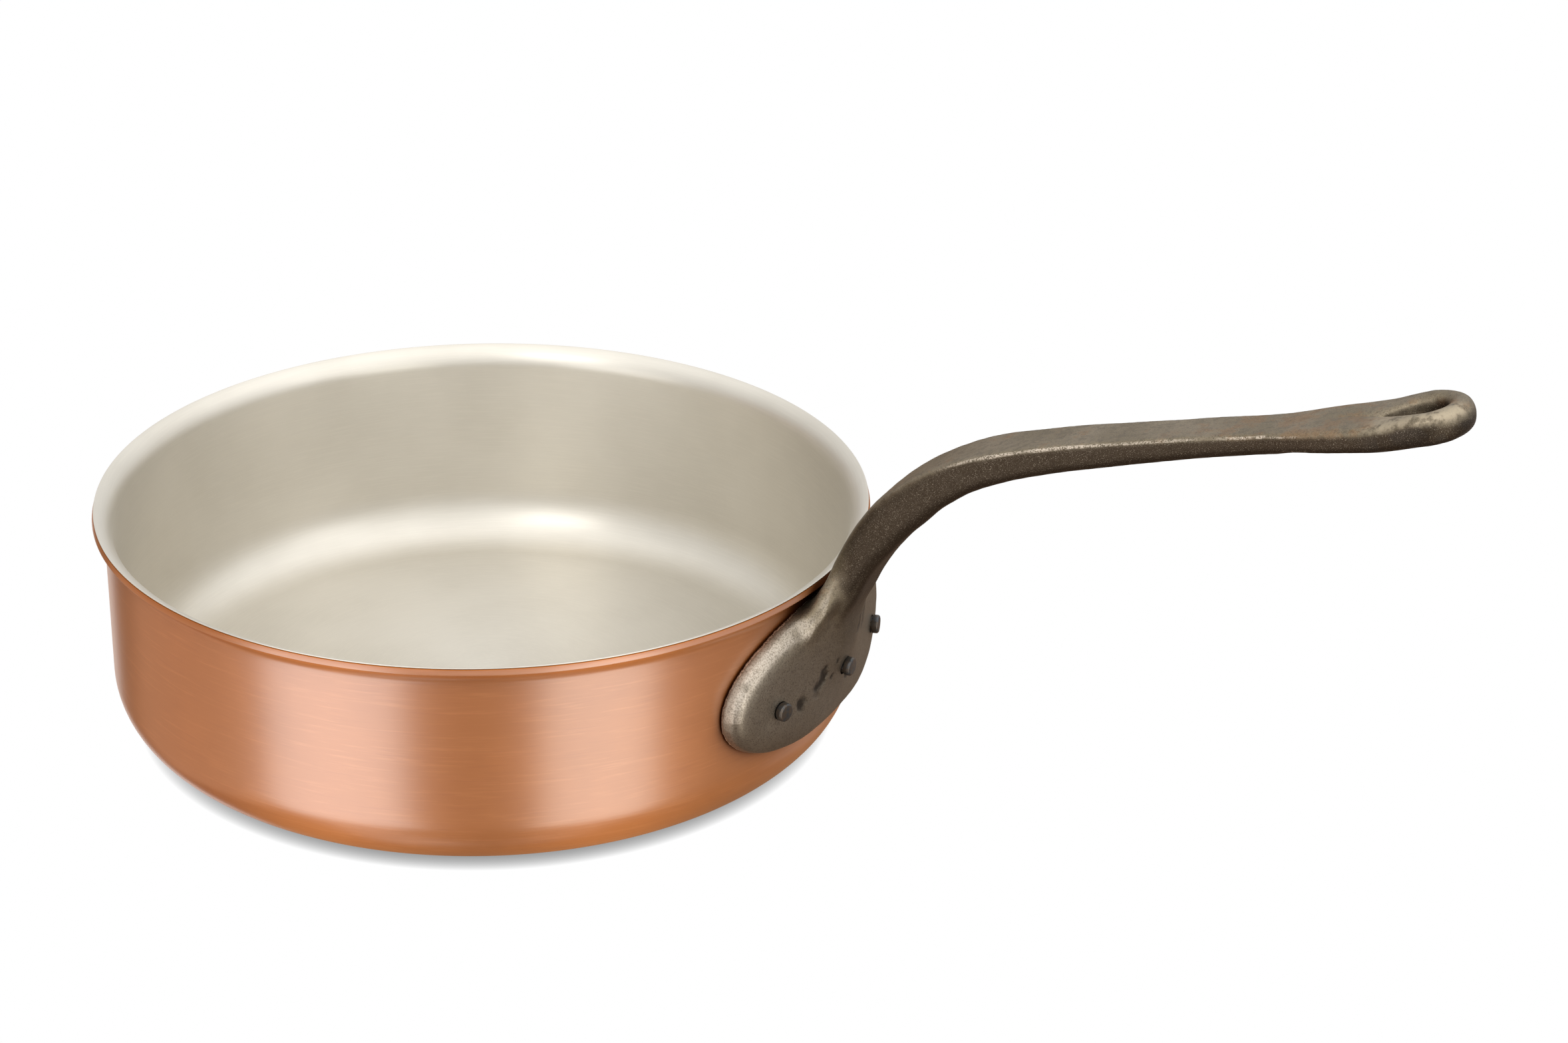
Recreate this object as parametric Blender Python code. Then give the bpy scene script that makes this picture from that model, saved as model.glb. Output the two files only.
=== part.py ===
"""A straight-sided copper saute pan with a steel lining and a riveted cast-iron handle.

The pan's axis is Z, and the base rests on z = 0. The handle leaves the wall along +X.
Six pieces: the copper body, its thin steel lining, the handle casting and three rivets.
"""

import math

import bmesh
import bpy
from mathutils import Vector

MM = 0.001
SHARP_ANGLE = math.radians(35)

# Pan wall: a 2.5 mm sheet, drawn with a flat base, a round corner and a flared pouring lip.
INNER_R = 120.0 * MM
SHEET = 2.5 * MM
LINING = 0.3 * MM
LAYER_GAP = 0.3 * MM
OUTER_R = INNER_R + SHEET
PAN_HEIGHT = 74.7 * MM
CORNER_R = 18.0 * MM
LIP_R = 7.5 * MM
LIP_TURN = math.radians(76)
LIP_START_Z = PAN_HEIGHT - LIP_R * math.sin(LIP_TURN)
PAN_SEGMENTS = 72
CORNER_STEPS = 6
LIP_STEPS = 5

# Flange: a curved shield against the wall, two half superellipses in arc length and height.
FIT_GAP = 0.3 * MM
FLANGE_BACK_R = OUTER_R + FIT_GAP
FLANGE_HALF_WIDTH = 51.5 * MM
FLANGE_MID_Z = 41.5 * MM
FLANGE_RISE = 27.3 * MM
FLANGE_DROP = 19.5 * MM
FLANGE_TOP_POWERS = (2.1, 2.0)
FLANGE_BOTTOM_POWERS = (3.6, 2.2)
FLANGE_EDGE = 2.0 * MM
FLANGE_PLATE = 6.6 * MM
FLANGE_TOP_BEVEL = 9.0 * MM
FLANGE_SIDE_BEVEL = 4.0 * MM
FLANGE_BOTTOM_BEVEL = 11.0 * MM
# The bevel reaches its top or bottom width at this share of the height, and narrows to the sides.
BEVEL_GROWTH = 1 / 1.6
BEVEL_SIDE_START = 0.55
BEVEL_SIDE_LOSS = 0.6
SWELL = 5.0 * MM
SWELL_WIDTH = 14.0 * MM
SWELL_LOW = -14.0 * MM
SWELL_HIGH = 20.0 * MM
FLANGE_OUTLINE_POINTS = 48
FLANGE_RINGS = (1.0, 0.98, 0.94, 0.87, 0.77, 0.63, 0.46, 0.28, 0.12)

# Arm: stations along its inner (top) line, each with x, z, width and depth.
ARM_STATIONS = (
    (123.6, 44.0, 19.0, 5.6),
    (123.7, 58.0, 22.0, 9.2),
    (124.6, 67.5, 22.0, 10.8),
    (127.2, 72.5, 22.0, 11.0),
    (129.4, 79.5, 22.0, 11.8),
    (132.8, 87.8, 22.0, 12.9),
    (137.4, 96.4, 22.0, 14.0),
    (143.7, 105.4, 22.0, 14.7),
    (152.1, 113.3, 22.0, 14.0),
    (158.7, 118.3, 22.0, 12.8),
    (169.0, 124.3, 21.6, 11.3),
    (180.0, 129.0, 20.8, 10.3),
    (191.0, 132.8, 19.9, 9.6),
    (203.5, 136.7, 19.3, 9.1),
    (222.8, 142.0, 19.0, 8.2),
    (241.8, 147.1, 18.9, 7.4),
    (260.9, 152.0, 19.2, 6.9),
    (272.0, 155.0, 20.0, 6.7),
    (290.0, 159.9, 14.0, 6.0),
)
ARM_SLICES_PER_STATION = 2
ARM_TOP_ROUND = 1.6 * MM
ARM_BOTTOM_ROUND = 3.4 * MM
ARM_CORNER_STEPS = 3

# Hanging loop: a teardrop ring in the plane of the straight arm. Each station has the distance
# along the arm from its root, the eye's and the ring's half widths, and its top and bottom heights.
ARM_SLOPE = math.atan(0.270)
LOOP_ROOT_X = 260.9 * MM
LOOP_ROOT_Z = 152.0 * MM
LOOP_STATIONS = (
    (0.0, -4.0, 9.3, -0.1, -6.0),
    (12.0, -3.0, 11.3, 0.4, -6.1),
    (25.0, -1.6, 13.5, 1.0, -6.5),
    (37.0, 0.0, 14.4, 1.7, -6.8),
    (43.5, 3.6, 14.3, 2.7, -6.5),
    (48.6, 6.0, 13.9, 3.5, -5.9),
)
LOOP_SPAN_SLICES = 2
LOOP_END_SLICES = 9
LOOP_END_TOP = 3.8 * MM
LOOP_SIDES = 16
LOOP_SQUARENESS = (4.5, 2.3)

# Rivets: stub heads outside, low domed heads inside, set square to the wall.
RIVET_SPREAD = math.radians(15.4)
RIVET_SIDE_Z = 40.2 * MM
RIVET_MIDDLE_Z = 42.0 * MM
RIVET_SHANK_R = 2.4 * MM
RIVET_HOLE_R = 2.7 * MM
RIVET_HEAD_R = 2.9 * MM
RIVET_HEAD = 2.2 * MM
RIVET_HEAD_EDGE = 0.6 * MM
RIVET_SET_HEAD_R = 5.0 * MM
RIVET_SET_HEAD = 1.6 * MM
RIVET_SET_GAP = 0.45 * MM
# The set head's dome: shares of its height and of its radius, from the crown to the wall.
RIVET_DOME = ((1.0, 0.45), (0.85, 0.72), (0.5, 0.93), (0.0, 1.0))
RIVET_SPOT_R = 3.3 * MM
CUTTER_REACH = 10.0 * MM
RIVET_SEGMENTS = 20


def clear_scene():
    for thing in list(bpy.data.objects):
        bpy.data.objects.remove(thing)


def material(name, color, roughness, metallic):
    made = bpy.data.materials.new(name)
    made.use_nodes = True
    shader = made.node_tree.nodes["Principled BSDF"]
    shader.inputs["Base Color"].default_value = (*color, 1.0)
    shader.inputs["Roughness"].default_value = roughness
    shader.inputs["Metallic"].default_value = metallic
    return made


def new_object(name, mesh_builder, finish):
    mesh = bpy.data.meshes.new(name)
    bmesh.ops.recalc_face_normals(mesh_builder, faces=mesh_builder.faces)
    mesh_builder.to_mesh(mesh)
    mesh_builder.free()
    mesh.shade_smooth()
    mesh.set_sharp_from_angle(angle=SHARP_ANGLE)
    thing = bpy.data.objects.new(name, mesh)
    bpy.context.scene.collection.objects.link(thing)
    if finish:
        mesh.materials.append(finish)
    return thing


def boolean(target, operation, tool):
    """Add an exact Boolean of the tool to the target, and hide the tool."""
    tool.hide_render = True
    tool.display_type = "WIRE"
    modifier = target.modifiers.new(tool.name, "BOOLEAN")
    modifier.operation = operation
    modifier.object = tool
    modifier.solver = "EXACT"
    modifier.use_self = operation == "UNION"


def arc(centre, radius, start, end, steps):
    """Points of an arc in the (r, z) plane, both ends included."""
    angles = [start + (end - start) * i / steps for i in range(steps + 1)]
    return [
        (centre[0] + radius * math.cos(a), centre[1] + radius * math.sin(a))
        for a in angles
    ]


def wall_line(depth):
    """The sheet's section at a depth below the inner surface, from the axis to the rim."""
    corner = (INNER_R - CORNER_R, SHEET + CORNER_R)
    lip = (INNER_R + LIP_R, LIP_START_Z)
    corner_arc = arc(corner, CORNER_R + depth, -math.pi / 2, 0, CORNER_STEPS)
    lip_arc = arc(lip, LIP_R - depth, math.pi, math.pi - LIP_TURN, LIP_STEPS)
    return [(0, SHEET - depth)] + corner_arc + lip_arc


def revolve(name, profile, finish):
    """Spin a section whose first and last points lie on the Z axis."""
    builder = bmesh.new()
    poles = [builder.verts.new((0, 0, profile[end][1])) for end in (0, -1)]
    rings = []
    for i in range(PAN_SEGMENTS):
        turn = 2 * math.pi * i / PAN_SEGMENTS
        ring = [
            builder.verts.new((r * math.cos(turn), r * math.sin(turn), z))
            for r, z in profile[1:-1]
        ]
        rings.append([poles[0]] + ring + [poles[1]])
    for ring, following in zip(rings, rings[1:] + rings[:1]):
        for k in range(len(profile) - 1):
            corners = (ring[k], ring[k + 1], following[k + 1], following[k])
            builder.faces.new(list(dict.fromkeys(corners)))
    return new_object(name, builder, finish)


def skin(builder, rings, closed):
    """Faces between neighbouring rings of vertices, capped at both ends unless closed."""
    following = rings[1:] + rings[:1] if closed else rings[1:]
    for ring, after in zip(rings, following):
        count = len(ring)
        for k in range(count):
            builder.faces.new((ring[k], ring[(k + 1) % count], after[(k + 1) % count], after[k]))
    if not closed:
        builder.faces.new(rings[0][::-1])
        builder.faces.new(rings[-1])


def flange_edge(angle):
    """The flange's outline at an angle about its middle, as (arc length, height)."""
    rise = math.sin(angle) >= 0
    power_s, power_z = FLANGE_TOP_POWERS if rise else FLANGE_BOTTOM_POWERS
    height = FLANGE_RISE if rise else FLANGE_DROP
    across = abs(math.cos(angle))
    up = abs(math.sin(angle))
    s = FLANGE_HALF_WIDTH * math.copysign(across ** (2 / power_s), math.cos(angle))
    z = height * math.copysign(up ** (2 / power_z), math.sin(angle))
    return Vector((s, z))


def smoothstep(value):
    value = min(max(value, 0.0), 1.0)
    return value * value * (3 - 2 * value)


def flange_thickness(point, edge_distance):
    """Thin at the edge, a wide slope along the top, a near-flat front, and a swell at the neck."""
    toward_top = smoothstep(point.y / FLANGE_RISE / BEVEL_GROWTH)
    toward_bottom = smoothstep(-point.y / FLANGE_DROP / BEVEL_GROWTH)
    sideways = abs(point.x) / FLANGE_HALF_WIDTH
    toward_side = smoothstep((sideways - BEVEL_SIDE_START) / (1 - BEVEL_SIDE_START))
    widening = (FLANGE_TOP_BEVEL - FLANGE_SIDE_BEVEL) * toward_top
    widening *= 1 - BEVEL_SIDE_LOSS * toward_side
    widening += (FLANGE_BOTTOM_BEVEL - FLANGE_SIDE_BEVEL) * toward_bottom
    slope_width = FLANGE_SIDE_BEVEL + widening
    slope = min(edge_distance / slope_width, 1.0)
    rise = math.sqrt(1 - (1 - slope) ** 2)
    height_share = smoothstep((point.y - SWELL_LOW) / (SWELL_HIGH - SWELL_LOW))
    swell = SWELL * math.exp(-((point.x / SWELL_WIDTH) ** 2)) * height_share
    return FLANGE_EDGE + (FLANGE_PLATE - FLANGE_EDGE + swell) * rise


def flange():
    """The shield, built flat as rings around its middle and wrapped on the wall."""
    outline = [
        flange_edge(2 * math.pi * i / FLANGE_OUTLINE_POINTS)
        for i in range(FLANGE_OUTLINE_POINTS)
    ]
    builder = bmesh.new()

    def on_wall(point, offset):
        radius = FLANGE_BACK_R + offset
        turn = point.x / FLANGE_BACK_R
        height = FLANGE_MID_Z + point.y
        return builder.verts.new((radius * math.cos(turn), radius * math.sin(turn), height))

    front, back = [], []
    for scale in FLANGE_RINGS:
        ring = [point * scale for point in outline]
        depths = [min((point - edge).length for edge in outline) for point in ring]
        front.append([on_wall(p, flange_thickness(p, d)) for p, d in zip(ring, depths)])
        back.append([on_wall(p, 0) for p in ring])
    skin(builder, back[::-1] + front, closed=False)
    return new_object("flange_plate", builder, None)


def blend(points, slices):
    """A Catmull-Rom curve through rows of numbers, with the same number of slices in each span."""
    padded = [points[0]] + list(points) + [points[-1]]
    rows = []
    for i in range(1, len(padded) - 2):
        before, start, end, after = padded[i - 1 : i + 3]
        for k in range(slices):
            t = k / slices
            rows.append(
                [
                    0.5
                    * (
                        2 * b
                        + (c - a) * t
                        + (2 * a - 5 * b + 4 * c - d) * t * t
                        + (3 * b - a - 3 * c + d) * t**3
                    )
                    for a, b, c, d in zip(before, start, end, after)
                ]
            )
    return rows + [list(points[-1])]


def arm_section(width, depth):
    """A rounded rectangle: flat on top at y = 0, with fuller corners below, as (across, down)."""
    points = []
    corners = (
        (width / 2, 0, ARM_TOP_ROUND, math.pi / 2),
        (width / 2, -depth, ARM_BOTTOM_ROUND, 0),
        (-width / 2, -depth, ARM_BOTTOM_ROUND, -math.pi / 2),
        (-width / 2, 0, ARM_TOP_ROUND, math.pi),
    )
    for x, y, radius, start in corners:
        centre = (x - math.copysign(radius, x), y - radius if y == 0 else y + radius)
        points += arc(centre, radius, start, start - math.pi / 2, ARM_CORNER_STEPS)
    return points


def arm():
    """The neck and arm, lofted from inside the flange to the start of the eye."""
    stations = [[value * MM for value in station] for station in ARM_STATIONS]
    rows = blend(stations, ARM_SLICES_PER_STATION)
    builder = bmesh.new()
    rings = []
    for i, (x, z, width, depth) in enumerate(rows):
        before, after = rows[max(i - 1, 0)], rows[min(i + 1, len(rows) - 1)]
        along = Vector((after[0] - before[0], 0, after[1] - before[1])).normalized()
        outward = Vector((-along.z, 0, along.x))
        rings.append(
            [
                builder.verts.new(Vector((x, across, z)) + outward * down)
                for across, down in arm_section(width, depth)
            ]
        )
    skin(builder, rings, closed=False)
    return new_object("arm", builder, None)


def superellipse(power, count):
    """Points round a unit superellipse: power 2 is a circle, and a higher power is squarer."""
    points = []
    for k in range(count):
        turn = 2 * math.pi * k / count
        c, s = math.cos(turn), math.sin(turn)
        points.append(
            (
                math.copysign(abs(c) ** (2 / power), c),
                math.copysign(abs(s) ** (2 / power), s),
            )
        )
    return points


def loop_half():
    """One side of the ring, root to tip: rows of (place in the plane, half width, top, bottom)."""
    stations = [[value * MM for value in station] for station in LOOP_STATIONS]
    rows = []
    for along, eye, outer, top, bottom in blend(stations, LOOP_SPAN_SLICES):
        rows.append((Vector((along, (eye + outer) / 2)), (outer - eye) / 2, top, bottom))
    start, half, top, bottom = rows[-1]
    for i in range(1, LOOP_END_SLICES + 1):
        turn = math.pi / 2 * i / LOOP_END_SLICES
        here = Vector((start.x + start.y * math.sin(turn), start.y * math.cos(turn)))
        rows.append((here, half, top + (LOOP_END_TOP - top) * math.sin(turn), bottom))
    return rows


def loop():
    """The hanging loop: an oval tube round the teardrop eye, rising above the arm at its end."""
    along = Vector((math.cos(ARM_SLOPE), 0, math.sin(ARM_SLOPE)))
    across = Vector((0, 1, 0))
    up = Vector((-math.sin(ARM_SLOPE), 0, math.cos(ARM_SLOPE)))
    root = Vector((LOOP_ROOT_X, 0, LOOP_ROOT_Z))
    half = loop_half()
    mirrored = [(Vector((p.x, -p.y)), width, top, bottom) for p, width, top, bottom in half[-2::-1]]
    rows = half + mirrored
    builder = bmesh.new()
    rings = []
    for i, (here, width, top, bottom) in enumerate(rows):
        tangent = (rows[min(i + 1, len(rows) - 1)][0] - rows[max(i - 1, 0)][0]).normalized()
        centre = root + along * here.x + across * here.y + up * ((top + bottom) / 2)
        sideways = along * -tangent.y + across * tangent.x
        height = (top - bottom) / 2
        roundness = smoothstep(here.x / rows[len(rows) // 2][0].x)
        power = LOOP_SQUARENESS[0] + (LOOP_SQUARENESS[1] - LOOP_SQUARENESS[0]) * roundness
        ring = []
        for across_part, up_part in superellipse(power, LOOP_SIDES):
            place = centre + sideways * (width * across_part) + up * (height * up_part)
            ring.append(builder.verts.new(place))
        rings.append(ring)
    skin(builder, rings, closed=False)
    return new_object("loop_ring", builder, None)


def turned(name, profile, turn, height, finish):
    """A piece turned on a radial axis of the pan: its profile is (distance from axis, radius)."""
    direction = Vector((math.cos(turn), math.sin(turn), 0))
    across = Vector((-math.sin(turn), math.cos(turn), 0))
    up = Vector((0, 0, 1))
    base = up * height
    builder = bmesh.new()
    rings = []
    for distance, radius in profile:
        ring = []
        for k in range(RIVET_SEGMENTS):
            angle = 2 * math.pi * k / RIVET_SEGMENTS
            around = across * math.cos(angle) + up * math.sin(angle)
            ring.append(builder.verts.new(base + direction * distance + around * radius))
        rings.append(ring)
    skin(builder, rings, closed=False)
    return new_object(name, builder, finish)


def rivet_seat(turn, height):
    """Distance from the pan's axis to the flange's front at a rivet."""
    place = Vector((turn * FLANGE_BACK_R, height - FLANGE_MID_Z))
    return FLANGE_BACK_R + flange_thickness(place, FLANGE_TOP_BEVEL)


def rivet(name, turn, height, finish):
    set_face = INNER_R - RIVET_SET_GAP
    seat = rivet_seat(turn, height) + FIT_GAP
    dome = [
        (set_face - RIVET_SET_HEAD * height_share, RIVET_SET_HEAD_R * radius_share)
        for height_share, radius_share in RIVET_DOME
    ]
    profile = dome + [
        (set_face, RIVET_SHANK_R),
        (seat, RIVET_SHANK_R),
        (seat, RIVET_HEAD_R),
        (seat + RIVET_HEAD - RIVET_HEAD_EDGE, RIVET_HEAD_R),
        (seat + RIVET_HEAD, RIVET_HEAD_R - RIVET_HEAD_EDGE),
    ]
    return turned(name, profile, turn, height, finish)


def rivet_hole(name, turn, height):
    """A cutter for the hole through all three layers, with a spot face under the outer head."""
    seat = rivet_seat(turn, height)
    profile = [
        (INNER_R - CUTTER_REACH, RIVET_HOLE_R),
        (seat, RIVET_HOLE_R),
        (seat, RIVET_SPOT_R),
        (seat + CUTTER_REACH, RIVET_SPOT_R),
    ]
    return turned(name + "_hole", profile, turn, height, None)


def main():
    clear_scene()
    copper = material("satin_copper", (0.72, 0.32, 0.18), 0.32, 1.0)
    steel = material("matte_steel", (0.62, 0.58, 0.52), 0.38, 1.0)
    iron = material("cast_iron", (0.10, 0.085, 0.07), 0.55, 1.0)
    rivet_steel = material("rivet_steel", (0.22, 0.22, 0.22), 0.45, 1.0)

    copper_inner = wall_line(LINING + LAYER_GAP)
    copper_body = revolve("copper_body", copper_inner + wall_line(SHEET)[::-1], copper)
    lining = revolve("steel_lining", wall_line(0) + wall_line(LINING)[::-1], steel)

    handle = arm()
    handle.name = "handle"
    handle.data.materials.append(iron)
    boolean(handle, "UNION", flange())
    boolean(handle, "UNION", loop())

    places = (
        ("rivet_left", -RIVET_SPREAD, RIVET_SIDE_Z),
        ("rivet_middle", 0.0, RIVET_MIDDLE_Z),
        ("rivet_right", RIVET_SPREAD, RIVET_SIDE_Z),
    )
    for name, turn, height in places:
        rivet(name, turn, height, rivet_steel)
        cutter = rivet_hole(name, turn, height)
        for pierced in (copper_body, lining, handle):
            boolean(pierced, "DIFFERENCE", cutter)


main()
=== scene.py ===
"""Looks of a copper saute pan: copper shell, steel lining, iron casting and three rivets.

Everything is in metres in the CAD frame: the pan's axis is Z, its base rests on z = 0, and the
handle leaves the wall along +X.
"""

import math

import bmesh
import bpy
import numpy as np
from mathutils import Matrix, Vector, noise


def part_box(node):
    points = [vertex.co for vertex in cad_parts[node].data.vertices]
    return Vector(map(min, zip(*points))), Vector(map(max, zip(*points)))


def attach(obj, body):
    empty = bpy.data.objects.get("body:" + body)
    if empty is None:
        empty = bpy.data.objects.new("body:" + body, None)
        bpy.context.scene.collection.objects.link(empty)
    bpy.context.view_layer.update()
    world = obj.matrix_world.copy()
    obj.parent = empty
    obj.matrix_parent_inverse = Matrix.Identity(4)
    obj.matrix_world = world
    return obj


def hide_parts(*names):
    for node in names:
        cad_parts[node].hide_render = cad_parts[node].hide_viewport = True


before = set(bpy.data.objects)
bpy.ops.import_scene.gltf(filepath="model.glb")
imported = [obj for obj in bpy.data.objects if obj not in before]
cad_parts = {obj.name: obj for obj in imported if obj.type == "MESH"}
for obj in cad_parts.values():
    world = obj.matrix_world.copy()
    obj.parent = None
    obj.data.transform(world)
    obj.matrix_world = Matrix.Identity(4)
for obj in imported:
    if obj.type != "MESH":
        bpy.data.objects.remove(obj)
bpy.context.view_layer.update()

MM = 0.001
SEED_OFFSET = Vector((3.1, 7.7, 1.3))

# The sheet, as the CAD model has it: inner radius, thickness, lining, corner and lip.
INNER_R = 120.0 * MM
SHEET = 2.5 * MM
LINING = 0.3 * MM
LINING_GAP = 0.02 * MM
PAN_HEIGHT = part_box("steel_lining")[1].z
CORNER_R = 18.0 * MM
LIP_R = 7.5 * MM
LIP_TURN = math.radians(76)
LIP_START_Z = PAN_HEIGHT - LIP_R * math.sin(LIP_TURN)
PAN_SEGMENTS = 288
EDGE_ROUND = 0.35 * MM
RIVET_HOLE_R = 2.6 * MM

# Casting: remesh size, rounds of smoothing, and the displacement that counts as a full ridge.
VOXEL = 0.58 * MM
SMOOTH_ROUNDS = 5
ROUNDING_ROUNDS = 45
FILLET_ROUNDS = 220
FILLET_PASSES = 9
RIDGE_ROUNDS = 8
FULL_RIDGE = 0.18 * MM
FLANGE_BACK_R = INNER_R + SHEET + 0.3 * MM
FLANGE_PLATE = 6.6 * MM
NECK_END_X = 178.0 * MM
NECK_FADE = 26.0 * MM

# Webs that carry the neck's sides down into the flange's shoulders, as balls in a row, in mm:
# distance off the middle, height, distance from the pan's axis and radius.
WEB = (
    (6.5, 80.5, 133.2, 3.0),
    (8.3, 77.0, 132.4, 3.4),
    (11.0, 72.5, 131.4, 3.9),
    (14.0, 68.5, 130.0, 4.1),
    (17.0, 64.5, 128.2, 4.2),
    (21.0, 60.0, 126.8, 3.8),
    (25.0, 56.5, 126.3, 3.2),
)
WEB_STEPS = 5

# The slot that runs from the hanging eye towards the arm, in mm along the arm from the loop's
# root: distance, half width at the bottom and half width at the top.
ARM_SLOPE = math.atan(0.270)
LOOP_ROOT = Vector((260.9, 0.0, 152.0)) * MM
SLOT = (
    (35.5, 0.7, 1.5),
    (39.0, 1.9, 3.4),
    (43.0, 3.5, 5.0),
    (47.0, 5.0, 6.0),
    (50.0, 5.5, 6.2),
)
SLOT_REACH = 9.0 * MM
SLOT_TOP = 2.4 * MM

# Casting flaws on the flange, in mm: start and end along the wall and up it, radius and depth.
FLAWS = (
    (-23.5, 39.0, -22.5, 38.0, 2.0, 0.22),
    (-14.5, 40.5, -12.0, 44.5, 2.6, 0.45),
    (-8.2, 41.6, -8.0, 42.0, 0.9, 0.30),
    (-6.4, 46.4, -6.2, 46.8, 0.8, 0.25),
    (6.0, 53.5, 7.5, 56.5, 2.4, 0.45),
    (2.4, 37.0, 3.0, 37.6, 1.3, 0.30),
    (14.0, 51.0, 15.0, 56.0, 2.6, 0.50),
)
RIVET_BORE_R = 3.05 * MM
RIVET_PLUG_R = 3.6 * MM

# How near another surface has to be for the painted shade on the copper and the painted shadow on
# the floor.
COPPER_SHADE_REACH = 9.0 * MM
FLOOR_SHADE_REACH = 4.5 * MM
FLOOR_SHADE_LEAST = 0.28

# Camera: place, direction and lens of the view from the front left of the handle.
CAMERA_PLACE = Vector((0.5271, -0.8771, 0.5459))
CAMERA_RIGHT = Vector((0.8990, 0.4377, 0.0170))
CAMERA_UP = Vector((-0.2007, 0.3771, 0.9042))
CAMERA_LENS = 78.84
SENSOR = 36.0

# Studio: a warm level below, and grey levels by height along a pole that leans to the handle.
SKY_POLE = Vector((0.259, 0.0, 0.966))
SKY_LOW = (0.23, 0.15, 0.10)
SKY_LOW_TOP = -0.15
SKY_GREYS = ((0.05, 0.76), (0.35, 0.92), (0.62, 1.24), (0.84, 1.56), (1.0, 1.76))

# Soft boxes: name, azimuth, elevation, distance, width, height, radiance and colour.
WHITE = (1.0, 1.0, 1.0)
SOFTBOXES = (
    ("front_left", -105, -14, 1.6, 1.16, 1.9, 1.75, WHITE),
    ("front_right", -27, -14, 1.6, 0.90, 1.9, 1.66, (1.0, 0.99, 0.93)),
    ("front_left_low", -105, -62, 1.6, 0.5, 0.9, 0.4, WHITE),
    ("front_right_low", -27, -62, 1.6, 0.4, 0.9, 0.2, WHITE),
    ("left_fill", 200, -20, 1.6, 1.5, 1.6, 0.50, (1.0, 0.58, 0.36)),
    ("left_rim", 146, -22, 1.6, 0.35, 1.6, 0.9, WHITE),
    ("right_fill", 58, -20, 1.6, 0.9, 1.2, 0.2, WHITE),
    ("right_high", -3, 30, 2.0, 0.7, 0.5, 0.9, WHITE),
    ("front_high", -89, 48, 1.8, 0.6, 0.6, 3.2, WHITE),
)
SOFTBOX_AIM_Z = 40.0 * MM
FLOOR_HALF = 12.0
FLOOR_Z = -0.1 * MM


# ---------------------------------------------------------------- node helpers


class Nodes:
    """A short way to write a material's node tree."""

    def __init__(self, name):
        self.material = bpy.data.materials.new(name)
        self.material.use_nodes = True
        self.tree = self.material.node_tree
        self.shader = self.tree.nodes["Principled BSDF"]

    def node(self, kind, values=None, **settings):
        made = self.tree.nodes.new(kind)
        for key, value in settings.items():
            setattr(made, key, value)
        for key, value in (values or {}).items():
            self.put(made.inputs[key], value)
        return made

    def put(self, socket, value):
        if isinstance(value, bpy.types.NodeSocket):
            self.tree.links.new(value, socket)
        else:
            socket.default_value = value

    def math(self, operation, first, second=0.0, third=0.0, clamp=False):
        made = self.node("ShaderNodeMath", operation=operation, use_clamp=clamp)
        for socket, value in zip(made.inputs, (first, second, third)):
            self.put(socket, value)
        return made.outputs[0]

    def vector(self, operation, first, second=(0, 0, 0), scale=1.0):
        made = self.node("ShaderNodeVectorMath", operation=operation)
        self.put(made.inputs[0], first)
        self.put(made.inputs[1], second)
        if operation == "SCALE":
            self.put(made.inputs["Scale"], scale)
        return made.outputs[1] if operation == "LENGTH" else made.outputs[0]

    def ramp(self, value, low, high, smooth=True):
        """0 below low and 1 above high."""
        made = self.node(
            "ShaderNodeMapRange",
            {"Value": value, "From Min": low, "From Max": high},
            interpolation_type="SMOOTHSTEP" if smooth else "LINEAR",
        )
        return made.outputs[0]

    def mix(self, share, first, second, blend="MIX"):
        made = self.node("ShaderNodeMix", data_type="RGBA", blend_type=blend)
        self.put(made.inputs[0], share)
        self.put(made.inputs[6], first)
        self.put(made.inputs[7], second)
        return made.outputs[2]

    def product(self, first, *others):
        for other in others:
            first = self.math("MULTIPLY", first, other)
        return first

    def clouded(self, clouds, first, second, low=0.35, high=0.65):
        """Two tones that run into each other by a noise."""
        return self.mix(self.ramp(clouds, low, high), rgb(*first), rgb(*second))

    def tint(self, colour, mask, strength, tone):
        """Lay a tone over a colour where the mask is."""
        return self.mix(self.product(mask, strength), colour, rgb(*tone))

    def normal_z(self):
        """The surface normal's height: 1 on a level top and 0 on an upright side."""
        normal = self.node("ShaderNodeNewGeometry").outputs["Normal"]
        return self.node("ShaderNodeSeparateXYZ", {"Vector": normal}).outputs["Z"]

    def noise(self, where, scale, detail=3.0, roughness=0.55, fourth=None):
        made = self.node(
            "ShaderNodeTexNoise",
            {"Vector": where, "Scale": scale, "Detail": detail, "Roughness": roughness},
            noise_dimensions="3D" if fourth is None else "4D",
        )
        if fourth is not None:
            self.put(made.inputs["W"], fourth)
        return made.outputs[0]

    def openness(self, reach, samples):
        """1 in the open, and less where another surface is nearer than the reach."""
        made = self.node("ShaderNodeAmbientOcclusion", {"Distance": reach}, samples=samples)
        return made.outputs["AO"]

    def object_place(self):
        return self.node("ShaderNodeTexCoord").outputs["Object"]

    def attribute(self, name):
        return self.node("ShaderNodeAttribute", attribute_name=name).outputs["Fac"]

    def bump(self, height, distance, strength=1.0, after=None):
        made = self.node("ShaderNodeBump", {"Strength": strength, "Distance": distance})
        self.put(made.inputs["Height"], height)
        if after is not None:
            self.put(made.inputs["Normal"], after)
        return made.outputs[0]

    def set(self, **values):
        for key, value in values.items():
            self.put(self.shader.inputs[key.replace("_", " ")], value)


def rgb(red, green, blue):
    return (red, green, blue, 1.0)


# ---------------------------------------------------------------- materials


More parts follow.
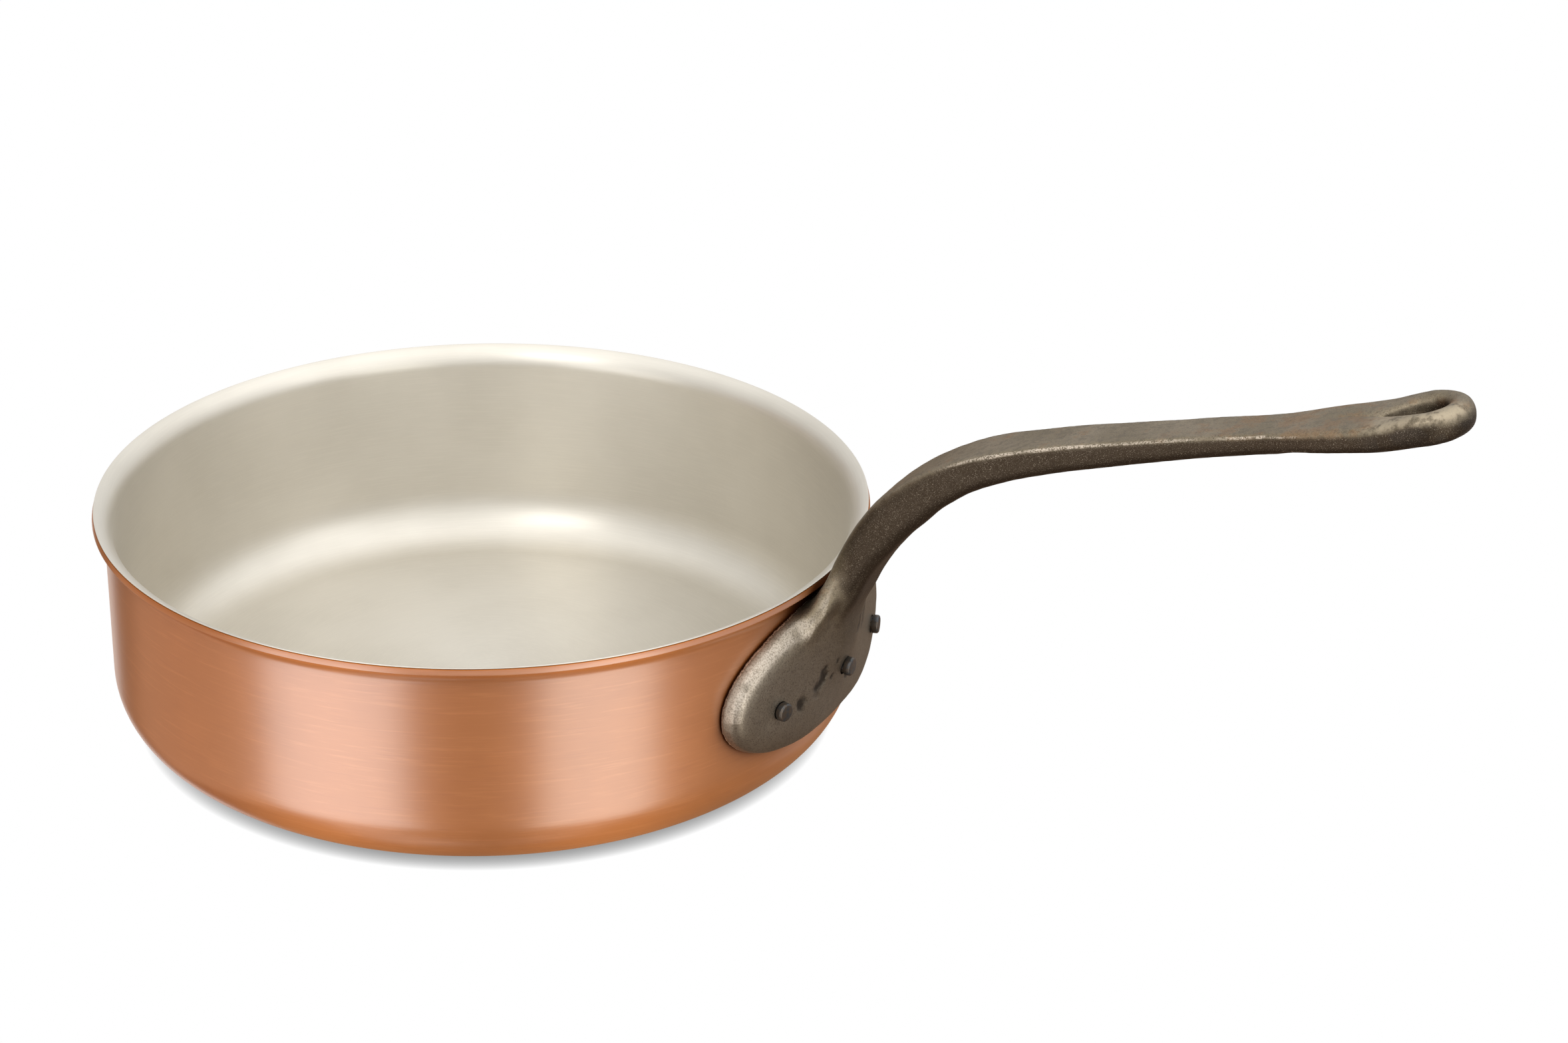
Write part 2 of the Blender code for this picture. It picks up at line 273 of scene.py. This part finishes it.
def turned_lines(made, turns, spacing, detail):
    """Noise drawn out into lines round the Z axis, on a wall and on a floor alike."""
    place = made.object_place()
    flat = made.vector("MULTIPLY", place, (1, 1, 0))
    radius = made.vector("LENGTH", flat)
    around = made.vector("SCALE", made.vector("NORMALIZE", flat), scale=turns)
    height = made.vector("MULTIPLY", place, (0, 0, 1 / spacing))
    where = made.vector("ADD", around, height)
    return made.noise(where, 1.0, detail, 0.6, fourth=made.math("DIVIDE", radius, spacing))


def satin_copper():
    """Turned copper: a rough warm body under a smoother, whiter sheen, with painted shade in narrow
    gaps.
    """
    made = Nodes("satin_copper")
    fine = turned_lines(made, 9.0, 0.45 * MM, 2.0)
    streaks = turned_lines(made, 7.0, 0.9 * MM, 3.0)
    broad = turned_lines(made, 1.6, 9.0 * MM, 2.0)
    clouds = made.noise(made.object_place(), 28.0, 3.0)
    colour = made.clouded(clouds, (0.55, 0.190, 0.038), (0.605, 0.218, 0.048))
    colour = made.tint(colour, made.ramp(streaks, 0.50, 0.72), 0.30, (0.78, 0.34, 0.12))
    colour = made.tint(colour, made.ramp(fine, 0.46, 0.30), 0.22, (0.42, 0.10, 0.02))
    openness = made.openness(COPPER_SHADE_REACH, 12)
    # Painted shade: the copper darkens where another surface is near, as beside the flange.
    colour = made.tint(colour, made.ramp(openness, 0.95, 0.35), 0.85, (0.07, 0.015, 0.005))
    rough = made.math("MULTIPLY_ADD", broad, 0.10, 0.58)
    rough = made.math("MULTIPLY_ADD", fine, 0.08, rough)
    tangent = made.node("ShaderNodeTangent", direction_type="RADIAL", axis="Z").outputs[0]
    normal = made.bump(fine, 0.02 * MM, 0.5)
    normal = made.bump(streaks, 0.03 * MM, 0.5, normal)
    made.set(Base_Color=colour, Metallic=1.0, Roughness=rough, Anisotropic=0.8)
    made.set(Anisotropic_Rotation=0.25, Tangent=tangent)
    coat = made.product(made.ramp(made.normal_z(), 0.55, 0.05), made.ramp(openness, 0.40, 0.95))
    made.set(Coat_Weight=coat, Coat_Roughness=0.28, Coat_IOR=2.6)
    made.set(Normal=normal, Coat_Normal=normal)
    return made.material


def matte_lining():
    """Turned steel, soft and slightly warm."""
    made = Nodes("matte_lining")
    fine = turned_lines(made, 10.0, 0.4 * MM, 2.0)
    streaks = turned_lines(made, 4.0, 2.2 * MM, 2.0)
    clouds = made.noise(made.object_place(), 18.0, 3.0)
    colour = made.clouded(clouds, (0.645, 0.61, 0.54), (0.685, 0.65, 0.58))
    colour = made.tint(colour, made.ramp(fine, 0.4, 0.7), 0.28, (0.74, 0.70, 0.62))
    rough = made.math("MULTIPLY_ADD", streaks, 0.08, 0.34)
    tangent = made.node("ShaderNodeTangent", direction_type="RADIAL", axis="Z").outputs[0]
    normal = made.bump(fine, 0.015 * MM, 0.4)
    made.set(Base_Color=colour, Metallic=0.8, Roughness=rough)
    made.set(Anisotropic=0.7, Anisotropic_Rotation=0.25, Tangent=tangent, Normal=normal)
    return made.material


def cast_iron():
    """Dark cast skin: painted shade on the upright and downward faces beyond the flange, a greyer
    flange, rust by the loop, edges and a bevel that are partly scuffed and partly painted
    highlights, and pale specks that are partly painted glints.
    """
    made = Nodes("cast_iron")
    place = made.object_place()
    split = made.node("ShaderNodeSeparateXYZ", {"Vector": place})
    along, across, up = (split.outputs[axis] for axis in "XYZ")
    upward = made.normal_z()
    clouds = made.noise(place, 60.0, 4.0)
    mottle = made.noise(place, 380.0, 3.0, 0.6)
    grain = made.noise(place, 2000.0, 3.0, 0.6)
    speckle_and_glint = made.noise(place, 3600.0, 2.0, 0.7)
    rust = made.noise(place, 120.0, 4.0, 0.65)

    colour = made.clouded(clouds, (0.20, 0.163, 0.108), (0.265, 0.220, 0.158), 0.32, 0.68)
    colour = made.tint(colour, made.ramp(mottle, 0.52, 0.36), 0.4, (0.12, 0.098, 0.07))
    # Painted shade: beyond the flange the handle darkens where its faces turn upright or downward.
    side = made.product(made.ramp(along, 0.128, 0.138), made.ramp(upward, 0.70, 0.12))
    colour = made.tint(colour, side, 0.92, (0.030, 0.020, 0.013))
    plate = made.product(made.ramp(along, 0.136, 0.129), made.ramp(up, 0.068, 0.050))
    colour = made.tint(colour, plate, 0.7, (0.208, 0.178, 0.145))

    tail = made.product(made.ramp(along, 0.235, 0.265), made.ramp(along, 0.300, 0.285))
    rusty = made.ramp(made.math("MULTIPLY_ADD", tail, 0.12, rust), 0.54, 0.72)
    rusty = made.product(rusty, made.ramp(upward, 0.1, 0.8))
    colour = made.tint(colour, rusty, 0.55, (0.24, 0.135, 0.06))
    colour = made.tint(colour, made.ramp(grain, 0.50, 0.36), 0.45, (0.06, 0.048, 0.036))

    # Scuffed ridges, partly real scuffing and partly a painted highlight line along the top edges.
    rubbed_ridge_and_highlight = made.product(
        made.ramp(made.attribute("ridge"), 0.52, 0.68),
        made.ramp(grain, 0.40, 0.56),
        made.ramp(made.noise(place, 55.0, 2.0), 0.32, 0.50),
        made.ramp(along, 0.290, 0.280),
    )
    colour = made.tint(colour, rubbed_ridge_and_highlight, 0.9, (0.66, 0.57, 0.47))
    # The flange's upper left bevel: partly scuffed and partly a painted highlight.
    bevel_rub_and_highlight_mask = made.product(
        made.math("MULTIPLY_ADD", made.ramp(grain, 0.34, 0.62), 0.7, 0.3),
        made.ramp(made.noise(place, 150.0, 2.0), 0.25, 0.55),
        made.attribute("bevel_rub_and_highlight"),
    )
    colour = made.tint(colour, bevel_rub_and_highlight_mask, 0.85, (0.58, 0.51, 0.43))

    # Near side of the eye: paler patches where faces turn up, darker where they turn sideways or
    # down.
    tip = made.product(made.ramp(along, 0.291, 0.299), made.ramp(across, 0.0, -0.005))
    tip_lighter_upward = made.product(tip, made.ramp(mottle, 0.34, 0.60), made.ramp(upward, 0.20, 0.80))
    colour = made.tint(colour, tip_lighter_upward, 0.55, (0.52, 0.44, 0.32))
    tip_dark_noise = made.ramp(made.noise(place, 130.0, 2.0), 0.56, 0.44)
    tip_darker_downward = made.product(tip, tip_dark_noise, made.ramp(upward, 0.45, 0.10))
    colour = made.tint(colour, tip_darker_downward, 0.85, (0.045, 0.036, 0.028))

    # Pale specks: partly the skin's grain and partly painted glints.
    colour = made.tint(colour, made.ramp(speckle_and_glint, 0.56, 0.72), 0.5, (0.42, 0.36, 0.28))
    colour = made.tint(colour, made.attribute("pits"), 0.88, (0.028, 0.023, 0.019))
    rough = made.math("MULTIPLY_ADD", grain, 0.25, 0.34)
    normal = made.bump(made.noise(place, 600.0, 3.0, 0.6), 0.08 * MM, 0.6)
    normal = made.bump(grain, 0.10 * MM, 0.6, normal)
    made.set(Base_Color=colour, Metallic=0.95, Roughness=rough, Normal=normal)
    return made.material


def rivet_metal():
    """Dark, bluish rivet steel."""
    made = Nodes("rivet_metal")
    place = made.object_place()
    clouds = made.noise(place, 500.0, 3.0)
    grain = made.noise(place, 2600.0, 2.0)
    colour = made.clouded(clouds, (0.070, 0.074, 0.078), (0.11, 0.085, 0.065))
    rough = made.math("MULTIPLY_ADD", grain, 0.2, 0.28)
    normal = made.bump(grain, 0.04 * MM, 0.5)
    made.set(Base_Color=colour, Metallic=0.85, Roughness=rough, Normal=normal)
    return made.material


def studio_floor():
    """Plain white paper with a painted contact shadow only where the pan stands close over it."""
    made = Nodes("studio_floor")
    openness = made.openness(FLOOR_SHADE_REACH, 24)
    # Painted shadow: the glow dims where the pan stands close over the floor.
    light = made.math("MULTIPLY_ADD", openness, 1 - FLOOR_SHADE_LEAST, FLOOR_SHADE_LEAST)
    made.set(Base_Color=rgb(0.0, 0.0, 0.0), Roughness=1.0, Specular_IOR_Level=0.0)
    made.set(Emission_Color=rgb(1.0, 1.0, 1.0), Emission_Strength=light)
    return made.material


# ---------------------------------------------------------------- mesh helpers


def new_piece(name, builder, finish):
    mesh = bpy.data.meshes.new(name)
    bmesh.ops.recalc_face_normals(builder, faces=builder.faces)
    builder.to_mesh(mesh)
    builder.free()
    mesh.shade_smooth()
    thing = bpy.data.objects.new(name, mesh)
    bpy.context.scene.collection.objects.link(thing)
    if finish:
        mesh.materials.append(finish)
    return thing


def settle(thing):
    """Turn a piece's modifiers into its mesh."""
    graph = bpy.context.evaluated_depsgraph_get()
    mesh = bpy.data.meshes.new_from_object(thing.evaluated_get(graph), depsgraph=graph)
    thing.modifiers.clear()
    thing.data = mesh
    return thing


def subtract(thing, cutter):
    """Cut a closed piece out of another and delete the cutter."""
    cut = thing.modifiers.new(cutter.name, "BOOLEAN")
    cut.operation = "DIFFERENCE"
    cut.solver = "EXACT"
    cut.object = cutter
    settle(thing)
    bpy.data.objects.remove(cutter)


def arc(centre, radius, start, end, steps):
    """Points on an arc, both ends included."""
    x, y = centre
    angles = [start + (end - start) * i / steps for i in range(steps + 1)]
    return [(x + radius * math.cos(a), y + radius * math.sin(a)) for a in angles]


def sheet_line(depth):
    """The sheet's section at a depth below the inner surface, from the axis to the rim."""
    corner = (INNER_R - CORNER_R, SHEET + CORNER_R)
    lip = (INNER_R + LIP_R, LIP_START_Z)
    floor = [(corner[0] * share, SHEET - depth) for share in (0, 0.03, 0.25, 0.5, 0.75)]
    corner_arc = arc(corner, CORNER_R + depth, -math.pi / 2, 0, 22)
    lip_arc = arc(lip, LIP_R - depth, math.pi, math.pi - LIP_TURN, 16)
    foot, head = corner_arc[-1], lip_arc[0]
    rise = head[1] - foot[1]
    wall = [(foot[0], foot[1] + rise * share) for share in (0.05, 0.35, 0.65, 0.95)]
    return floor + corner_arc + wall + lip_arc


def rounded_rim(inner, outer, radius):
    """Join two section lines at the rim with both corners of the cut edge rounded."""
    a, b = Vector(inner[-1]), Vector(outer[-1])
    along = (Vector(inner[-1]) - Vector(inner[-2])).normalized()
    across = (b - a).normalized()
    back = -along * radius
    corner_a, corner_b = a + back + across * radius, b + back - across * radius
    steps = 5
    curve = []
    for centre, begin, finish in ((corner_a, -across, along), (corner_b, along, across)):
        for i in range(steps + 1):
            turn = math.pi / 2 * i / steps
            spot = centre + (begin * math.cos(turn) + finish * math.sin(turn)) * radius
            curve.append((spot.x, spot.y))
    return inner[:-1] + curve + outer[:-1][::-1]


def revolve(name, profile, finish):
    """Spin a section whose first and last points lie on the Z axis."""
    builder = bmesh.new()
    poles = [builder.verts.new((0, 0, profile[end][1])) for end in (0, -1)]
    rings = []
    for i in range(PAN_SEGMENTS):
        turn = 2 * math.pi * i / PAN_SEGMENTS
        c, s = math.cos(turn), math.sin(turn)
        ring = [builder.verts.new((r * c, r * s, z)) for r, z in profile[1:-1]]
        rings.append([poles[0]] + ring + [poles[1]])
    for ring, following in zip(rings, rings[1:] + rings[:1]):
        for k in range(len(profile) - 1):
            corners = (ring[k], ring[k + 1], following[k + 1], following[k])
            builder.faces.new(list(dict.fromkeys(corners)))
    return new_piece(name, builder, finish)


def turned(name, profile, place, finish, segments=48):
    """A piece turned on a horizontal line through the pan's axis and the given place."""
    direction = Vector((place.x, place.y, 0)).normalized()
    across = Vector((-direction.y, direction.x, 0))
    up = Vector((0, 0, 1))
    base = up * place.z
    builder = bmesh.new()
    rings = []
    for distance, radius in profile:
        ring = []
        for k in range(segments):
            angle = 2 * math.pi * k / segments
            around = across * math.cos(angle) + up * math.sin(angle)
            ring.append(builder.verts.new(base + direction * distance + around * radius))
        rings.append(ring)
    for ring, after in zip(rings, rings[1:]):
        for k in range(segments):
            follow = (k + 1) % segments
            builder.faces.new((ring[k], ring[follow], after[follow], after[k]))
    builder.faces.new(rings[0][::-1])
    builder.faces.new(rings[-1])
    return new_piece(name, builder, finish)


# ---------------------------------------------------------------- pieces


def rivet_places():
    """The middle of each rivet in the CAD frame."""
    places = {}
    for side in ("left", "middle", "right"):
        low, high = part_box("rivet_" + side)
        places[side] = (low + high) / 2
    return places


def pierce(thing, bore):
    """Cut the three rivet holes through a piece."""
    for side, place in rivet_places().items():
        reach = 14 * MM
        span = [(INNER_R - reach, bore), (INNER_R + reach, bore)]
        subtract(thing, turned("cut_" + side, span, place, None))
    thing.data.set_sharp_from_angle(angle=math.radians(40))
    return thing


def shell(finish):
    inner = sheet_line(LINING + LINING_GAP)
    section = rounded_rim(inner, sheet_line(SHEET), EDGE_ROUND)
    return pierce(revolve("copper_shell", section, finish), RIVET_HOLE_R)


def lining(finish):
    section = rounded_rim(sheet_line(0), sheet_line(LINING), LINING * 0.45)
    return pierce(revolve("lining", section, finish), RIVET_HOLE_R)


def even_out(points, edges, rounds):
    """Move each vertex half way to its neighbours' mean, again and again."""
    count = len(points)
    first, second = edges[:, 0], edges[:, 1]
    valence = np.bincount(edges.ravel(), minlength=count)[:, None]
    for _ in range(rounds):
        total = np.empty_like(points)
        for axis in range(3):
            values = points[:, axis]
            total[:, axis] = np.bincount(first, values[second], count)
            total[:, axis] += np.bincount(second, values[first], count)
        points = (points + total / valence) / 2
    return points


def smooth_step(low, high, value):
    share = np.clip((value - low) / (high - low), 0, 1)
    return share * share * (3 - 2 * share)


def read_points(mesh, layer="co"):
    values = np.empty(len(mesh.vertices) * 3)
    mesh.vertices.foreach_get(layer, values)
    return values.reshape(-1, 3)


def write_points(mesh, points):
    mesh.vertices.foreach_set("co", points.ravel())
    mesh.update()


def write_layer(mesh, name, values):
    mesh.attributes.new(name, "FLOAT", "POINT").data.foreach_set("value", values)


def flaws(points):
    """How deep each vertex lies in a casting flaw, and how much of a flaw it is (0 to 1)."""
    depth, share = np.zeros(len(points)), np.zeros(len(points))
    radius = np.hypot(points[:, 0], points[:, 1])
    near = np.flatnonzero(radius < FLANGE_BACK_R + 12 * MM)
    for i in near:
        x, y, z = points[i]
        spot = Vector((math.atan2(y, x) * FLANGE_BACK_R, z)) / MM
        wander = noise.noise(Vector(points[i]) * 420 + SEED_OFFSET)
        wander += 0.4 * noise.noise(Vector(points[i]) * 1000 + SEED_OFFSET)
        for s0, z0, s1, z1, reach, deep in FLAWS:
            start, run = Vector((s0, z0)), Vector((s1 - s0, z1 - z0))
            along = min(max((spot - start).dot(run) / run.length_squared, 0.0), 1.0)
            away = (spot - start - run * along).length / reach + 0.8 * wander
            inside = min(max(1.25 - away, 0.0), 1.0)
            depth[i] = max(depth[i], deep * MM * inside)
            share[i] = max(share[i], inside)
    return depth, share


def bevel_rub_and_highlight_map(points, normals):
    """1 on the flange's upper left bevel, which is scuffed pale and carries a painted highlight,
    and 0 elsewhere.
    """
    radius = np.hypot(points[:, 0], points[:, 1])
    outward = (points[:, 0] * normals[:, 0] + points[:, 1] * normals[:, 1]) / radius
    along_wall = np.arctan2(points[:, 1], points[:, 0]) * FLANGE_BACK_R
    bevel_rub_and_highlight = smooth_step(0.99, 0.91, outward) * smooth_step(0.10, 0.45, outward)
    height = points[:, 2]
    bevel_rub_and_highlight *= smooth_step(-9 * MM, -17 * MM, along_wall) * smooth_step(31 * MM, 48 * MM, height)
    bevel_rub_and_highlight *= 1 - 0.5 * smooth_step(60 * MM, 67 * MM, height)
    return bevel_rub_and_highlight * (normals[:, 2] > 0) * (radius < FLANGE_BACK_R + 10 * MM)


def add_webs(builder):
    """Add the balls of the webs on both sides of the neck."""
    for start, end in zip(WEB, WEB[1:]):
        for i in range(WEB_STEPS):
            share = i / WEB_STEPS
            off, height, out, radius = (a + (b - a) * share for a, b in zip(start, end))
            for y in (-off, off):
                place = Vector((math.sqrt(out * out - y * y), y, height)) * MM
                spot = Matrix.Translation(place)
                bmesh.ops.create_icosphere(builder, subdivisions=2, radius=radius * MM, matrix=spot)


def cut_slot(thing):
    """Run the hanging eye on towards the arm as a slot with sloping sides."""
    builder = bmesh.new()
    forward = Vector((math.cos(ARM_SLOPE), 0, math.sin(ARM_SLOPE)))
    upright = Vector((-math.sin(ARM_SLOPE), 0, math.cos(ARM_SLOPE)))
    rings = []
    for distance, low, high in SLOT:
        here = LOOP_ROOT + forward * (distance * MM)
        rises = (-SLOT_REACH, -SLOT_TOP, SLOT_TOP, SLOT_REACH)
        left = list(zip((-low, -low, -high, -high), rises))
        right = [(-y, rise) for y, rise in left[::-1]]
        spots = [here + Vector((0, y * MM, 0)) + upright * rise for y, rise in left + right]
        rings.append([builder.verts.new(spot) for spot in spots])
    for ring, after in zip(rings, rings[1:]):
        for k in range(len(ring)):
            follow = (k + 1) % len(ring)
            builder.faces.new((ring[k], ring[follow], after[follow], after[k]))
    builder.faces.new(rings[0][::-1])
    builder.faces.new(rings[-1])
    subtract(thing, new_piece("slot_cutter", builder, None))


def casting(finish):
    """The handle as one casting, with blended corners, an uneven skin and maps of its scuffs and
    painted highlights.
    """
    plain = bmesh.new()
    plain.from_mesh(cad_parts["handle"].data)
    bmesh.ops.remove_doubles(plain, verts=plain.verts, dist=0.001 * MM)
    slotted = new_piece("slotted_handle", plain, None)
    cut_slot(slotted)
    parts = bmesh.new()
    parts.from_mesh(slotted.data)
    bpy.data.objects.remove(slotted)
    add_webs(parts)
    for side, place in rivet_places().items():
        span = [(FLANGE_BACK_R, RIVET_PLUG_R), (FLANGE_BACK_R + FLANGE_PLATE, RIVET_PLUG_R)]
        plug = turned("plug_" + side, span, place, None)
        parts.from_mesh(plug.data)
        bpy.data.objects.remove(plug)
    thing = new_piece("handle_casting", parts, None)
    remesh = thing.modifiers.new("skin", "REMESH")
    remesh.mode = "VOXEL"
    remesh.voxel_size = VOXEL
    settle(thing)
    mesh = thing.data
    edges = np.empty(len(mesh.edges) * 2, int)
    mesh.edges.foreach_get("vertices", edges)
    edges = edges.reshape(-1, 2)
    points = even_out(read_points(mesh), edges, SMOOTH_ROUNDS)
    write_points(mesh, points)

    normals = read_points(mesh, "normal")
    off_wall = np.hypot(points[:, 0], points[:, 1]) - FLANGE_BACK_R
    share = smooth_step(0.5 * MM, 2.8 * MM, off_wall)
    share *= 1 - smooth_step(NECK_END_X - NECK_FADE, NECK_END_X, points[:, 0])
    for _ in range(FILLET_PASSES):
        fill = ((even_out(points, edges, FILLET_ROUNDS) - points) * normals).sum(1)
        points = points + normals * (np.maximum(fill, 0) * share)[:, None]
    points = points + (even_out(points, edges, ROUNDING_ROUNDS) - points) * share[:, None]
    points = even_out(points, edges, 2)
    write_points(mesh, points)

    normals = read_points(mesh, "normal")
    ridge = ((points - even_out(points, edges, RIDGE_ROUNDS)) * normals).sum(1) / FULL_RIDGE
    write_layer(mesh, "ridge", np.clip(ridge, -1, 2))
    write_layer(mesh, "bevel_rub_and_highlight", bevel_rub_and_highlight_map(points, normals))
    depth, share = flaws(points)
    write_layer(mesh, "pits", share)
    heave = np.empty(len(points))
    for i, point in enumerate(points):
        spot = Vector(point) * 90 + SEED_OFFSET
        fine = Vector(point) * 420 + SEED_OFFSET
        heave[i] = 0.16 * noise.noise(spot) + 0.05 * noise.noise(fine)
    write_points(mesh, points + normals * (heave * MM - depth)[:, None])
    pierce(thing, RIVET_BORE_R)
    thing.data.shade_smooth()
    thing.data.materials.clear()
    thing.data.materials.append(finish)
    return thing


def rivet(side, place, finish):
    """A rivet: a stub head with a scuffed edge outside and a low domed head inside."""
    low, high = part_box("rivet_" + side)
    corners = [v.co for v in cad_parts["rivet_" + side].data.vertices]
    direction = Vector((place.x, place.y, 0)).normalized()
    reach = [corner.x * direction.x + corner.y * direction.y for corner in corners]
    inner_end, outer_end = min(reach), max(reach)
    head_r, shank_r, set_r = 3.0 * MM, 2.4 * MM, 5.0 * MM
    head, edge, set_head = 2.2 * MM, 0.7 * MM, 1.6 * MM
    dome = arc((0, 0), 1.0, math.pi, math.pi / 2, 10)
    profile = [(inner_end + set_head * (1 + x), max(set_r * y, 0.05 * MM)) for x, y in dome]
    profile += [(inner_end + set_head + 0.15 * MM, set_r)]
    profile += [(inner_end + set_head + 0.2 * MM, shank_r), (outer_end - head, shank_r)]
    profile += [(outer_end - head, head_r - 0.1 * MM), (outer_end - head + 0.1 * MM, head_r)]
    profile += arc((outer_end - edge, head_r - edge), edge, math.pi / 2, 0, 8)
    profile += [(outer_end + 0.1 * MM, (head_r - edge) * 0.5)]
    profile += [(outer_end + 0.12 * MM, 0.05 * MM)]
    made = turned("rivet_head_" + side, profile, place, finish)
    for vertex in made.data.vertices:
        wander = noise.noise_vector(vertex.co * 500 + SEED_OFFSET)
        vertex.co += wander * 0.06 * MM
    made.data.set_sharp_from_angle(angle=math.radians(50))
    return made


# ---------------------------------------------------------------- studio


def softbox(name, azimuth, elevation, distance, width, height, radiance, colour):
    """A rectangular area light at a bearing from the pan, facing it."""
    lamp = bpy.data.lights.new(name, "AREA")
    lamp.shape = "RECTANGLE"
    lamp.size, lamp.size_y = width, height
    lamp.energy = radiance * math.pi * width * height
    lamp.color = colour
    thing = bpy.data.objects.new(name, lamp)
    bpy.context.scene.collection.objects.link(thing)
    a, e = math.radians(azimuth), math.radians(elevation)
    toward = Vector((math.cos(a) * math.cos(e), math.sin(a) * math.cos(e), math.sin(e)))
    thing.location = toward * distance + Vector((0, 0, SOFTBOX_AIM_Z))
    thing.rotation_euler = toward.to_track_quat("Z", "Y").to_euler()
    thing.visible_camera = False
    return thing


def sky(name, pole, levels):
    """An even studio round the pan: colour by height along the pole, from -1 to 1."""
    world = bpy.data.worlds.new(name)
    bpy.context.scene.world = world
    world.use_nodes = True
    nodes, links = world.node_tree.nodes, world.node_tree.links
    place = nodes.new("ShaderNodeTexCoord")
    rise = nodes.new("ShaderNodeVectorMath")
    rise.operation = "DOT_PRODUCT"
    rise.inputs[1].default_value = pole
    span = nodes.new("ShaderNodeMapRange")
    span.inputs["From Min"].default_value = -1.0
    span.inputs["From Max"].default_value = 1.0
    ramp = nodes.new("ShaderNodeValToRGB")
    ramp.color_ramp.interpolation = "EASE"
    stops = ramp.color_ramp.elements
    while len(stops) < len(levels):
        stops.new(0.5)
    for stop, (height, level) in zip(stops, levels):
        stop.position = (height + 1) / 2
        stop.color = (*level, 1.0)
    links.new(place.outputs["Generated"], rise.inputs[0])
    links.new(rise.outputs["Value"], span.inputs["Value"])
    links.new(span.outputs[0], ramp.inputs[0])
    links.new(ramp.outputs["Color"], nodes["Background"].inputs["Color"])


def studio():
    """The floor, the sky and the soft boxes. The floor shows to the camera alone."""
    floor_builder = bmesh.new()
    corners = [(-1, -1), (1, -1), (1, 1), (-1, 1)]
    spots = [(x * FLOOR_HALF, y * FLOOR_HALF, FLOOR_Z) for x, y in corners]
    floor_builder.faces.new([floor_builder.verts.new(spot) for spot in spots])
    floor = new_piece("floor", floor_builder, studio_floor())
    floor.visible_diffuse = False
    floor.visible_glossy = False
    floor.visible_shadow = False

    levels = [(-1.0, SKY_LOW), (SKY_LOW_TOP, SKY_LOW)]
    levels += [(height, (level, level, level)) for height, level in SKY_GREYS]
    sky("studio", SKY_POLE, levels)
    for values in SOFTBOXES:
        softbox(*values)
    bpy.context.scene.view_settings.view_transform = "Standard"


def camera():
    lens = bpy.data.cameras.new("camera")
    lens.sensor_fit = "HORIZONTAL"
    lens.sensor_width = SENSOR
    lens.lens = CAMERA_LENS
    lens.clip_start, lens.clip_end = 0.05, 60.0
    thing = bpy.data.objects.new("camera", lens)
    bpy.context.scene.collection.objects.link(thing)
    right = CAMERA_RIGHT.normalized()
    up = (CAMERA_UP - right * CAMERA_UP.dot(right)).normalized()
    back = right.cross(up)
    turn = Matrix((right, up, back)).transposed()
    thing.matrix_world = Matrix.Translation(CAMERA_PLACE) @ turn.to_4x4()
    bpy.context.scene.camera = thing


def main():
    camera()
    studio()
    rivet_finish = rivet_metal()
    made = [
        (shell(satin_copper()), "copper_body", "copper"),
        (lining(matte_lining()), "steel_lining", "lining_steel"),
        (casting(cast_iron()), "handle", "cast_iron"),
    ]
    for side, place in rivet_places().items():
        made.append((rivet(side, place, rivet_finish), "rivet_" + side, "rivet_steel"))
    for piece, node, slot in made:
        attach(piece, "root")
        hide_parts(node)


main()
